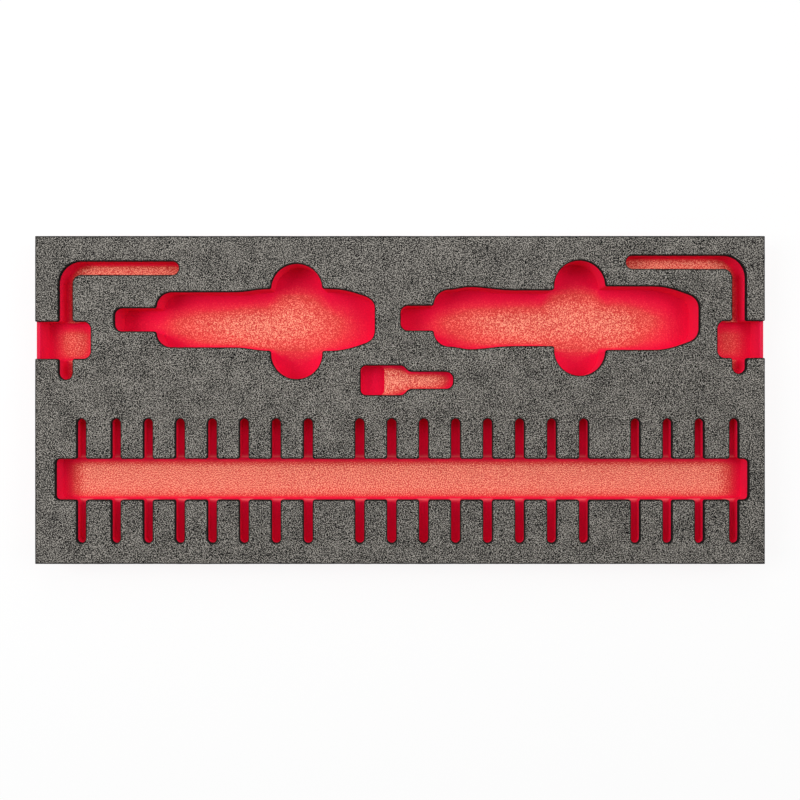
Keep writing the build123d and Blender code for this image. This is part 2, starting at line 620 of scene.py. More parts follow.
def read_cut_lines(node: bpy.types.Object) -> tuple[list[CutLine], BVHTree]:
    """Reads where a solid of the frame falls away.

    Args:
        node: The solid's object.

    Returns:
        Its cut lines, in millimetres, and the solid itself to look up heights in.
    """
    same_place = 1e-6
    smallest_edge = 1e-3
    level_normal = 0.99
    steep_normal = 0.5
    smallest_fall = 0.01
    shape = bmesh.new()
    shape.from_mesh(node.data)
    bmesh.ops.remove_doubles(shape, verts=shape.verts, dist=same_place)
    bmesh.ops.scale(shape, vec=(1 / MM,) * 3, verts=shape.verts)
    bmesh.ops.dissolve_degenerate(shape, dist=smallest_edge, edges=shape.edges)
    shape.normal_update()
    steps_at: dict[float, dict[Point, Point]] = {}
    for face in [face for face in shape.faces if face.normal.z > level_normal]:
        for loop in face.loops:
            start = loop.vert.co
            end = loop.link_loop_next.vert.co
            low = start.z - smallest_fall
            others = [other for other in loop.edge.link_faces if other is not face]
            if any(o.normal.z < steep_normal and min(v.co.z for v in o.verts) < low for o in others):
                steps = steps_at.setdefault(round(start.z, 2), {})
                steps[(round(start.x, 3), round(start.y, 3))] = (round(end.x, 3), round(end.y, 3))
    solid = BVHTree.FromBMesh(shape)
    shape.free()
    lines = []
    for level, steps in steps_at.items():
        starts = [start for start in steps if start not in set(steps.values())]
        while steps:
            start = starts.pop() if starts else next(iter(steps))
            chain = [start]
            while chain[-1] in steps:
                chain.append(steps.pop(chain[-1]))
                if chain[-1] == start:
                    break
            closed = chain[-1] == start
            lines.append(CutLine(np.array(chain[:-1] if closed else chain), closed, level))
    return lines, solid


def height_under(solid: BVHTree, place: list[float]) -> float:
    """The height of the foam at a place of the plan, in millimetres, or OPEN where no foam is left."""
    hit = solid.ray_cast(Vector((*place, FAR_ABOVE)), Vector((0.0, 0.0, -1.0)))[0]
    return OPEN if hit is None else round(hit.z, 2)


def edges_of(corners: list[int]) -> list[Edge]:
    """The edges of a face, each from one corner to the next."""
    return list(zip(corners, corners[1:] + corners[:1]))


@dataclass
class Division:
    """A part of the plan divided into triangles, some of whose edges follow given lines.

    The mode and the least distance are those of Blender's Delaunay division.
    """

    places: list[list[float]]
    lines: list[Edge]
    mode: int
    least_distance: float
    points: list[Point] = field(init=False)
    sources: list[list[int]] = field(init=False)
    triangles: list[list[int]] = field(init=False)
    fixed: set[Edge] = field(init=False)
    faces_at: dict[Edge, list[int]] = field(init=False)

    def __post_init__(self) -> None:
        """Divides the plan, and notes which triangles meet at each edge."""
        vectors = [Vector(place) for place in self.places]
        made = delaunay_2d_cdt(vectors, self.lines, [], self.mode, self.least_distance)
        self.points = [tuple(point) for point in made[0]]
        self.sources = made[3]
        self.triangles = [list(face) for face in made[2]]
        self.fixed = {tuple(sorted(edge)) for edge, source in zip(made[1], made[4]) if source}
        self.faces_at = {}
        for number, corners in enumerate(self.triangles):
            for edge in edges_of(corners):
                self.faces_at.setdefault(tuple(sorted(edge)), []).append(number)

    def beside(self, number: int, across_lines: bool) -> list[int]:
        """The triangles that share an edge with one, and that one itself.

        Args:
            number: The triangle.
            across_lines: Whether those beyond a given line count.

        Returns:
            Their numbers.
        """
        edges = [tuple(sorted(edge)) for edge in edges_of(self.triangles[number])]
        crossed = [edge for edge in edges if across_lines or edge not in self.fixed]
        return [other for edge in crossed for other in self.faces_at[edge]]

    def pieces(self) -> list[list[int]]:
        """Groups the triangles.

        Returns:
            Pieces of the plan that no given line divides, as the numbers of their triangles.
        """
        seen: set[int] = set()
        pieces = []
        for first in range(len(self.triangles)):
            if first in seen:
                continue
            seen.add(first)
            piece = [first]
            for number in piece:
                for other in self.beside(number, across_lines=False):
                    if other not in seen:
                        seen.add(other)
                        piece.append(other)
            pieces.append(piece)
        return pieces


@dataclass
class CutPlan:
    """The foam seen from above: cut lines with their corners rounded, and the triangles between them.

    A level is the height of a flat part of the foam, and hidden levels need no fine mesh. The overhang is how
    far the foam's rim stands into the pockets. A corner is a turn of more than the sharp turn, in radians,
    and foam below the smallest piece, in square millimetres, is what a rounded corner lost. The longest cut
    is a share of a run between two corners, the rim shares are of the rim's radius, and the grid's jitter and
    clearance are of its spacing. Other sizes are in millimetres.
    """

    node: bpy.types.Object
    spacing: float
    line_spacing: float
    corner_radius: float
    outer_corner_radius: float
    rim_radius: dict[float, float]
    hidden_levels: tuple[float, ...] = ()
    overhang: float = 0.0
    sharp_turn: float = math.radians(25)
    smallest_piece: float = 1.6
    corner_step: float = 0.45
    longest_cut: float = 0.45
    rim_shares: tuple[float, ...] = (0.29, 1.0)
    grid_jitter: float = 0.16
    grid_clearance: float = 0.62
    seed: int = 7
    top: float = field(init=False)
    low_corner: np.ndarray = field(init=False)
    high_corner: np.ndarray = field(init=False)
    division: Division = field(init=False)
    points: np.ndarray = field(init=False)
    triangles: np.ndarray = field(init=False)
    levels: np.ndarray = field(init=False)

    def __post_init__(self) -> None:
        """Reads the cut lines, rounds their corners, and divides the plan into triangles between them."""
        lines, solid = read_cut_lines(self.node)
        self.top = max(line.level for line in lines)
        extent = np.array([(v.co.x, v.co.y) for v in self.node.data.vertices]) / MM
        self.low_corner = extent.min(axis=0)
        self.high_corner = extent.max(axis=0)
        drawn: list[tuple[np.ndarray, bool]] = []
        rows: list[np.ndarray] = []
        for line in lines:
            tips: list[np.ndarray] = []
            if line.closed and line.level == self.top:
                run, tips = self.round_outline(line.points)
                if self.overhang > 0:
                    run, tips = self.overhung(run), []
            else:
                run = self.smooth_line(line)
            drawn += [(run, line.closed), *((tip, False) for tip in tips)]
            radius = self.rim_radius.get(line.level, 0.0)
            if radius > 0:
                rows += [side_of(run, radius * share, line.closed) for share in self.rim_shares]
        self.divide(drawn, rows, solid)

    def smooth_line(self, line: CutLine) -> np.ndarray:
        """Divides a cut line below the top level evenly, with its corners as they are.

        Args:
            line: The cut line.

        Returns:
            Its new points.
        """
        points = line.points
        if line.closed:
            points = np.vstack([points, points[:1]])
        corners = [0]
        for place in range(1, len(points) - 1):
            if abs(turn_at(*points[place - 1 : place + 2])) > self.sharp_turn:
                corners.append(place)
        corners.append(len(points) - 1)
        runs = [smooth_run(points[a : b + 1], self.line_spacing) for a, b in pairwise(corners)]
        joined = np.vstack([runs[0], *[run[1:] for run in runs[1:]]])
        return joined[:-1] if line.closed else joined

    def round_outline(self, points: np.ndarray) -> tuple[np.ndarray, list[np.ndarray]]:
        """Rounds the foam's own corners on a closed outline, and leaves the corners of the pockets.

        Args:
            points: The outline, with the foam on its left.

        Returns:
            The rounded outline, and the sharp tip that each corner lost.
        """
        count = len(points)
        after = np.roll(points, -1, axis=0)
        turns = [turn_at(points[place - 1], points[place], after[place]) for place in range(count)]
        corners = [place for place in range(count) if abs(turns[place]) > self.sharp_turn]
        if not corners:
            around = np.vstack([points, points[:1]])
            seam = tangent_at(points[-1], points[0], points[1])
            return smooth_run(around, self.line_spacing, (seam, seam))[:-1], []
        turned = np.roll(points, -corners[0], axis=0)
        around = np.vstack([turned, turned[:1]])
        places = [corner - corners[0] for corner in corners] + [count]
        runs = [smooth_run(around[a : b + 1], self.line_spacing) for a, b in pairwise(places)]
        turns = [turns[corner] for corner in corners]
        reaches = [self.corner_reach(run[0], turn) for run, turn in zip(runs, turns)]
        middles = []
        for run, start_reach, end_reach in zip(runs, reaches, reaches[1:] + reaches[:1]):
            longest = self.longest_cut * float(np.linalg.norm(np.diff(run, axis=0), axis=1).sum())
            middles.append(trimmed(run, min(start_reach, longest), min(end_reach, longest)))
        outline: list[np.ndarray] = []
        tips: list[np.ndarray] = []
        for number, middle in enumerate(middles):
            following = (number + 1) % len(middles)
            if reaches[following] == 0:
                outline.append(middle[:-1])
                continue
            corner, join = runs[number][-1], middles[following][0]
            arc = rounded_corner(middle[-1], corner, join, turns[following], self.corner_step)
            outline += [middle, arc]
            tips.append(np.vstack([middle[-1], corner, join]))
        return np.vstack(outline), tips

    def corner_reach(self, corner: np.ndarray, turn: float) -> float:
        """Measures how much of each side the rounding of a corner takes.

        Args:
            corner: The corner.
            turn: The turn there, in radians.

        Returns:
            The length in millimetres, which is 0 where the corner is the pocket's.
        """
        if turn < 0:
            return 0.0
        near = 0.01
        sides = (self.low_corner, self.high_corner)
        at_side = any(np.isclose(corner, side, atol=near).any() for side in sides)
        radius = self.outer_corner_radius if at_side else self.corner_radius
        return radius * math.tan(turn / 2)

    def overhung(self, outline: np.ndarray) -> np.ndarray:
        """Moves an outline into the pockets by the overhang, but not at the foam's own sides.

        Args:
            outline: The closed outline, with the foam on its left.

        Returns:
            As many points as the outline has.
        """
        moved = side_of(outline, -self.overhang, True)
        from_sides = np.minimum(outline - self.low_corner, self.high_corner - outline).min(axis=1)
        share = np.clip(from_sides / self.overhang, 0.0, 1.0)[:, None]
        return outline + (moved - outline) * share

    def divide(self, drawn: list[tuple[np.ndarray, bool]], rows: list[np.ndarray], solid: BVHTree) -> None:
        """Divides the plan into triangles and finds the level of each.

        Args:
            drawn: The lines that edges follow, and whether each is closed.
            rows: Loose points beside the rims.
            solid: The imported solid, to look up heights in.
        """
        least_distance = 1e-4
        edges: list[Edge] = []
        total = 0
        for line, closed in drawn:
            edges += [(total + step, total + step + 1) for step in range(len(line) - 1)]
            if closed:
                edges.append((total + len(line) - 1, total))
            total += len(line)
        taken = np.vstack([*(line for line, _ in drawn), *rows])
        everything = np.vstack([taken, self.grid(taken, solid)])
        self.division = Division(everything.tolist(), edges, 0, least_distance)
        self.points = np.array(self.division.points)
        self.triangles = np.array(self.division.triangles)
        self.levels = self.find_levels(solid)

    def grid(self, taken: np.ndarray, solid: BVHTree) -> np.ndarray:
        """Points spread evenly over the levels that need them, clear of the lines.

        Args:
            taken: The points that are there already.
            solid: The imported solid, to look up heights in.

        Returns:
            The new points, a little out of line so that no row of them shows.
        """
        random = np.random.default_rng(self.seed)
        row_height = self.spacing * math.sqrt(3) / 2
        across = np.arange(self.low_corner[0], self.high_corner[0], self.spacing)
        up = np.arange(self.low_corner[1], self.high_corner[1], row_height)
        grid_x, grid_y = np.meshgrid(across, up)
        grid_x[1::2] += self.spacing / 2
        spread = np.column_stack((grid_x.ravel(), grid_y.ravel()))
        spread += random.uniform(-self.grid_jitter, self.grid_jitter, spread.shape) * self.spacing
        tree = KDTree(len(taken))
        for number, place in enumerate(taken.tolist()):
            tree.insert((*place, 0.0), number)
        tree.balance()
        empty = {OPEN, *self.hidden_levels}
        clearance = self.grid_clearance * self.spacing
        open_places = [place for place in spread.tolist() if height_under(solid, place) not in empty]
        return np.array([place for place in open_places if tree.find((*place, 0.0))[2] > clearance])

    def find_levels(self, solid: BVHTree) -> np.ndarray:
        """Finds the level of each triangle. Triangles with no cut line between them have the same one.

        Args:
            solid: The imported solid, to look up heights in.

        Returns:
            A level for each triangle, or OPEN where no foam is left.
        """
        corners = self.points[self.triangles]
        sides = corners[:, 1:] - corners[:, :1]
        areas = 0.5 * np.abs(sides[:, 0, 0] * sides[:, 1, 1] - sides[:, 0, 1] * sides[:, 1, 0])
        middles = corners.mean(axis=1)
        levels = np.zeros(len(self.triangles))
        lost: list[list[int]] = []
        for piece in self.division.pieces():
            largest = max(piece, key=lambda number: areas[number])
            level = height_under(solid, middles[largest].tolist())
            levels[piece] = level
            if level == self.top and areas[piece].sum() < self.smallest_piece:
                lost.append(piece)
        for piece in lost:
            around = {levels[other] for number in piece for other in self.division.beside(number, True)}
            levels[piece] = max((level for level in around if level < self.top), default=OPEN)
        return levels


@dataclass
class PaintedFloorLight:
    """Painted light and painted shade on the floors of the pockets: pale where a lamp's light would reach a
    floor, turning to a shaded red towards the pockets' sides.

    Each level has a length over which it fades, in millimetres. Each share says how much of it counts in one
    direction of the plan: it fades furthest from the pocket's ends along the insert, and further from the
    back walls than from the front ones, as shade from lamps at the sides and the back would fall. In each
    direction the nearest wall is looked for at several turns, in degrees, by steps, over cells of a surveyed
    plan. At the levels in lip_levels, the rim towards a lower floor gets a painted highlight over lip_width.
    Sizes are in millimetres.
    """

    solids: tuple[BVHTree, ...]
    low_corner: np.ndarray
    high_corner: np.ndarray
    lengths: dict[float, float]
    lip_levels: set[float]
    lip_width: float = 2.2
    lip_share: float = 0.8
    # Fading lengths by direction: full along the insert, shorter towards the back walls and shortest towards
    # the front ones, so that painted shade falls as from lamps at the sides and the back.
    shares: tuple[Triple, ...] = (
        (-1.0, 0.0, 1.0),
        (1.0, 0.0, 1.0),
        (0.0, 1.0, 0.37),
        (0.0, -1.0, 0.08),
    )
    turns: tuple[float, ...] = (-24.0, -12.0, 0.0, 12.0, 24.0)
    steps: int = 40
    cell: float = 0.75
    step_up: float = 1.0
    heights: np.ndarray = field(init=False)

    def __post_init__(self) -> None:
        """Looks up the height of the foam all over the plan."""
        across = np.arange(self.low_corner[0] + self.cell / 2, self.high_corner[0], self.cell)
        up = np.arange(self.low_corner[1] + self.cell / 2, self.high_corner[1], self.cell)
        rows = [[max(height_under(solid, [x, y]) for solid in self.solids) for x in across] for y in up]
        self.heights = np.array(rows)

    def height_at(self, places: np.ndarray) -> np.ndarray:
        """Gives the surveyed heights at places of the plan.

        Args:
            places: The places, in millimetres.

        Returns:
            A height for each, which is 0 beyond the plan's edges.
        """
        cells = np.floor((places - self.low_corner) / self.cell).astype(int)
        rows, columns = self.heights.shape
        inside = (cells >= 0).all(axis=1) & (cells[:, 0] < columns) & (cells[:, 1] < rows)
        found = np.zeros(len(places))
        found[inside] = self.heights[cells[inside, 1], cells[inside, 0]]
        return found

    def free_share(self, places: np.ndarray, level: float, direction: np.ndarray) -> np.ndarray:
        """How far places lie from the next wall in one direction, at most 1.

        Args:
            places: Places of the plan on one floor, in millimetres.
            level: The height of that floor.
            direction: The direction to look in, as long as the floor fades in it.

        Returns:
            The share of that length for each place.
        """
        free = np.ones(len(places))
        for share in np.linspace(1.0, 1.0 / self.steps, self.steps):
            blocked = self.height_at(places + direction * share) > level + self.step_up
            free[blocked] = share
        return free

    def measure(self, places: np.ndarray, level: float) -> np.ndarray:
        """Measures how pale one floor is: the painted light and painted shade on it.

        Args:
            places: Places of the plan on the floor, in millimetres.
            level: The height of the floor.

        Returns:
            A paleness for each place, from 0 to 1.
        """
        paleness = np.ones(len(places))
        for x, y, share in self.shares:
            length = self.lengths[level] * share
            free = np.zeros(len(places))
            for turn in np.radians(self.turns):
                cosine, sine = math.cos(turn), math.sin(turn)
                turned = np.array((x * cosine - y * sine, x * sine + y * cosine))
                free += self.free_share(places, level, turned * length)
            paleness *= free / len(self.turns)
        return paleness**2


# Foam from its plan


@dataclass
class FoamShape:
    """A foam made from its plan: level faces, walls between them, and the underside.

    Each vertex on a level is known by the plan's point and the level, and each wall by its start, its end and
    the levels above and below it. Sizes are in millimetres, but where a rim starts to count as one, the
    clearance of the walls' rings and the inset of the bottom's grid are shares of their radius or spacing.
    """

    plan: CutPlan
    bottom: float
    bottom_rim: float
    wall_spacing: float
    bottom_spacing: float
    bottom_has_pockets: bool
    # Painted light and painted shade on the floors, and painted highlights on their rims.
    fading: PaintedFloorLight | None = None
    sharp_angle: float = math.radians(40)
    rim_starts: float = 0.1
    ring_clearance: float = 0.45
    bottom_inset: float = 0.7
    vertices: list[Triple] = field(default_factory=list)
    faces: list[tuple[int, int, int]] = field(default_factory=list)
    surfaces: list[int] = field(default_factory=list)
    relief: dict[int, float] = field(default_factory=dict)
    lit_lips: dict[int, float] = field(default_factory=dict)
    walls: list[tuple[int, int, float, float]] = field(default_factory=list)
    corner_of: dict[tuple[int, float], int] = field(default_factory=dict)
    column_heights: dict[int, dict[float, int]] = field(default_factory=dict)
    ground_of: dict[int, int] = field(default_factory=dict)

    def build(self, name: str) -> bpy.types.Object:
        """Makes the foam's mesh.

        Args:
            name: The name of the new object.

        Returns:
            The object, at the origin, with its place in its mesh.
        """
        self.make_levels()
        self.make_walls()
        self.make_underside()
        mesh = bpy.data.meshes.new(name)
        mesh.from_pydata((np.array(self.vertices) * MM).tolist(), [], self.faces)
        relief = np.ones(len(self.vertices))
        relief[list(self.relief)] = list(self.relief.values())
        values = {"surface": np.array(self.surfaces), "relief": relief}
        if self.fading is not None:
            places = np.array(self.vertices)[:, :2]
            # The attribute paleness holds the painted light and painted shade on each floor.
            values["paleness"] = np.zeros(len(places))
            for level in self.fading.lengths:
                floor = [vertex for (_, height), vertex in self.corner_of.items() if height == level]
                values["paleness"][floor] = self.fading.measure(places[floor], level)
            # A painted highlight along the rims where these floors fall to lower ones.
            values["lip"] = np.zeros(len(places))
            values["lip"][list(self.lit_lips)] = list(self.lit_lips.values())
        for attribute, numbers in values.items():
            domain = "FACE" if attribute == "surface" else "POINT"
            made = mesh.attributes.new(attribute, "FLOAT", domain)
            made.data.foreach_set("value", numbers.astype(np.float32))
        mesh.shade_smooth()
        mesh.set_sharp_from_angle(angle=self.sharp_angle)
        return link_object(name, mesh)

    def make_levels(self) -> None:
        """Lays the level faces, lowered along the rims so that those are rounded."""
        plan = self.plan
        fading = self.fading
        falls = self.falling_edges()
        milled_levels = set() if fading is None else set(fading.lengths)
        lip_width = 0.0 if fading is None else fading.lip_width
        rim_vertices: set[int] = set()
        for level in sorted(set(plan.levels.tolist()) - {OPEN}):
            radius = plan.rim_radius.get(level, 0.0)
            rim = self.rim_finder(falls.get(level, [])) if radius > 0 else None
            has_lip = fading is not None and level in fading.lip_levels
            for number in np.unique(plan.triangles[plan.levels == level]).tolist():
                x, y = plan.points[number].tolist()
                distance = None if rim is None else rim.find_nearest((x, y, 0.0), max(radius, lip_width))[3]
                lowering = 0.0
                if distance is not None and distance < radius:
                    lowering = radius - math.sqrt(radius**2 - (radius - distance) ** 2)
                vertex = self.add_vertex(x, y, level - lowering)
                self.corner_of[(number, level)] = vertex
                self.column_heights.setdefault(number, {})[level - lowering] = vertex
                # Painted highlight: pale at the rim, fading over lip_width.
                if has_lip and distance is not None:
                    self.lit_lips[vertex] = fading.lip_share * (1.0 - distance / lip_width)
                if lowering > self.rim_starts * radius and level == plan.top:
                    rim_vertices.add(vertex)
                if level in plan.hidden_levels:
                    self.relief[vertex] = 0.0
        for corners, level in zip(plan.triangles.tolist(), plan.levels.tolist()):
            if level == OPEN:
                continue
            vertices = [self.corner_of[(corner, level)] for corner in corners]
            surface = Surface.MILLED if level in milled_levels else Surface.KNIFE
            # Top faces on the rounded rims count as cut edge, which on the grey sheet is near black: partly
            # its dark cut foam, partly painted shade along the pockets' rims.
            if level == plan.top and rim_vertices.isdisjoint(vertices):
                surface = Surface.SKIN
            self.add_face(*vertices, surface)

    def falling_edges(self) -> dict[float, list[Edge]]:
        """Finds the walls: the edges of the plan between two levels.

        Returns:
            The edges by the higher level, with the higher foam on their left.
        """
        plan = self.plan
        falls: dict[float, list[Edge]] = {}
        for edge, pair in plan.division.faces_at.items():
            sides = [(number, float(plan.levels[number])) for number in pair]
            if len(sides) == 1:
                sides.append((-1, OPEN))
            sides.sort(key=lambda side: -side[1])
            (high_face, high), (_, low) = sides
            if high == low:
                continue
            turning = edges_of(plan.division.triangles[high_face])
            start, end = edge if edge in turning else edge[::-1]
            falls.setdefault(high, []).append((start, end))
            self.walls.append((start, end, high, low))
        return falls

    def rim_finder(self, edges: list[Edge]) -> BVHTree:
        """Raises upright strips along edges of the plan, to measure how far a place is from them.

        Args:
            edges: The edges.

        Returns:
            The strips.
        """
        corners = []
        strips = []
        for edge in edges:
            first = len(corners)
            for number in edge:
                x, y = self.plan.points[number].tolist()
                corners += [(x, y, -1.0), (x, y, 1.0)]
            strips.append((first, first + 2, first + 3, first + 1))
        return BVHTree.FromPolygons(corners, strips)

    def make_walls(self) -> None:
        """Joins the levels by walls. The walls that meet in a line share its points."""
        ground = self.bottom + self.bottom_rim
        for start, end, _, low in self.walls:
            if low == OPEN:
                for number in (start, end):
                    if number not in self.ground_of:
                        x, y = self.plan.points[number].tolist()
                        self.ground_of[number] = self.add_vertex(x, y, ground)
                        self.column_heights[number][ground] = self.ground_of[number]
        count = max(1, round((self.plan.top - ground) / self.wall_spacing))
        rings = [ground + (self.plan.top - ground) * step / count for step in range(1, count)]
        clear = self.ring_clearance * self.wall_spacing
        for number in {number for wall in self.walls for number in wall[:2]}:
            heights = self.column_heights[number]
            x, y = self.plan.points[number].tolist()
            fixed = sorted(heights)
            for ring in rings:
                if fixed[0] < ring < fixed[-1] and min(abs(ring - height) for height in fixed) > clear:
                    heights[ring] = self.add_vertex(x, y, ring)
        for start, end, high, low in self.walls:
            self.zip_columns(self.column(start, low, high), self.column(end, low, high))

    def column(self, number: int, low: float, high: float) -> Column:
        """Lists the points above one place of the plan between two levels.

        Args:
            number: The place's point of the plan.
            low: The lower level, or OPEN.
            high: The higher level.

        Returns:
            Their heights and vertices, from the lowest up.
        """
        top = self.vertices[self.corner_of[(number, high)]][2]
        foot = self.ground_of[number] if low == OPEN else self.corner_of[(number, low)]
        base = self.vertices[foot][2]
        points = self.column_heights[number].items()
        return sorted((height, vertex) for height, vertex in points if base <= height <= top)

    def zip_columns(self, left: Column, right: Column) -> None:
        """Fills the strip between two columns of points, which need not be at the same heights.

        Args:
            left: The first column's heights and vertices, from the lowest up.
            right: The second column's.
        """
        first = second = 0
        while first < len(left) - 1 or second < len(right) - 1:
            left_next = left[first + 1][0] if first < len(left) - 1 else math.inf
            right_next = right[second + 1][0] if second < len(right) - 1 else math.inf
            if left_next < right_next:
                self.add_face(left[first][1], right[second][1], left[first + 1][1], Surface.KNIFE)
                first += 1
            else:
                self.add_face(left[first][1], right[second][1], right[second + 1][1], Surface.KNIFE)
                second += 1

    def make_underside(self) -> None:
        """Closes the foam below, with its lower rim turned in a little."""
        rim_of: dict[int, int] = {}
        after = {start: end for start, end, _, low in self.walls if low == OPEN}
        places: list[list[float]] = []
        edges: list[Edge] = []
        rim: list[int] = []
        while after:
            loop = [next(iter(after))]
            while loop[-1] in after:
                loop.append(after.pop(loop[-1]))
            loop.pop()
            first = len(places)
            places += side_of(self.plan.points[loop], self.bottom_rim, True).tolist()
            rim += [self.add_vertex(*place, self.bottom) for place in places[first:]]
            rim_of.update(zip(loop, rim[first:]))
            edges += [(first + step, first + (step + 1) % len(loop)) for step in range(len(loop))]
            for here, there in edges_of(loop):
                ground = self.ground_of[here]
                self.add_face(ground, rim_of[here], rim_of[there], Surface.KNIFE)
                self.add_face(ground, rim_of[there], self.ground_of[there], Surface.KNIFE)
        self.fill_underside(places, edges, rim)

    def fill_underside(self, places: list[list[float]], edges: list[Edge], rim: list[int]) -> None:
        """Fills the flat underside, which shows no relief.

        Args:
            places: The rim's points on the plan.
            edges: The rim's edges, with the foam on their left.
            rim: The vertex of each of those points.
        """
        inset = self.bottom_inset * self.bottom_spacing
        least_distance = 1e-5
        loose: list[list[float]] = []
        if not self.bottom_has_pockets:
            low = self.plan.low_corner + inset
            high = self.plan.high_corner - inset / 2
            across, up = (np.arange(low[axis], high[axis], self.bottom_spacing).tolist() for axis in (0, 1))
            loose = [[x, y] for x in across for y in up]
        division = Division(places + loose, edges, 1, least_distance)
        vertices = []
        for point, sources in zip(division.points, division.sources):
            known = [source for source in sources if source < len(rim)]
            vertices.append(rim[known[0]] if known else self.add_vertex(*point, self.bottom))
        directed = set(edges)
        source_of = [sources[0] if sources else None for sources in division.sources]
        inside: list[int] = []
        for piece in division.pieces():
            borders = (edge for number in piece for edge in edges_of(division.triangles[number]))
            if any((source_of[a], source_of[b]) in directed for a, b in borders):
                inside += piece
        for number in sorted(inside):
            a, b, c = (vertices[corner] for corner in division.triangles[number])
            self.add_face(a, c, b, Surface.SKIN)
            self.relief.update({a: 0.0, b: 0.0, c: 0.0})

    def add_vertex(self, x: float, y: float, z: float) -> int:
        """Adds a vertex, in millimetres, and gives its number."""
        self.vertices.append((x, y, z))
        return len(self.vertices) - 1

    def add_face(self, a: int, b: int, c: int, surface: Surface) -> None:
        """Adds a triangle, unless two of its corners are the same.

        Args:
            a: Its first corner.
            b: Its second corner.
            c: Its third corner.
            surface: What left the face as it is.
        """
        if len({a, b, c}) == 3:
            self.faces.append((a, b, c))
            self.surfaces.append(surface.value)


def link_object(name: str, data: Any) -> bpy.types.Object:
    """Adds an object to the scene.

    Args:
        name: Its name.
        data: Its mesh, lamp or camera.

    Returns:
        The new object.
    """
    made = bpy.data.objects.new(name, data)
    bpy.context.scene.collection.objects.link(made)
    return made


# What follows the surface


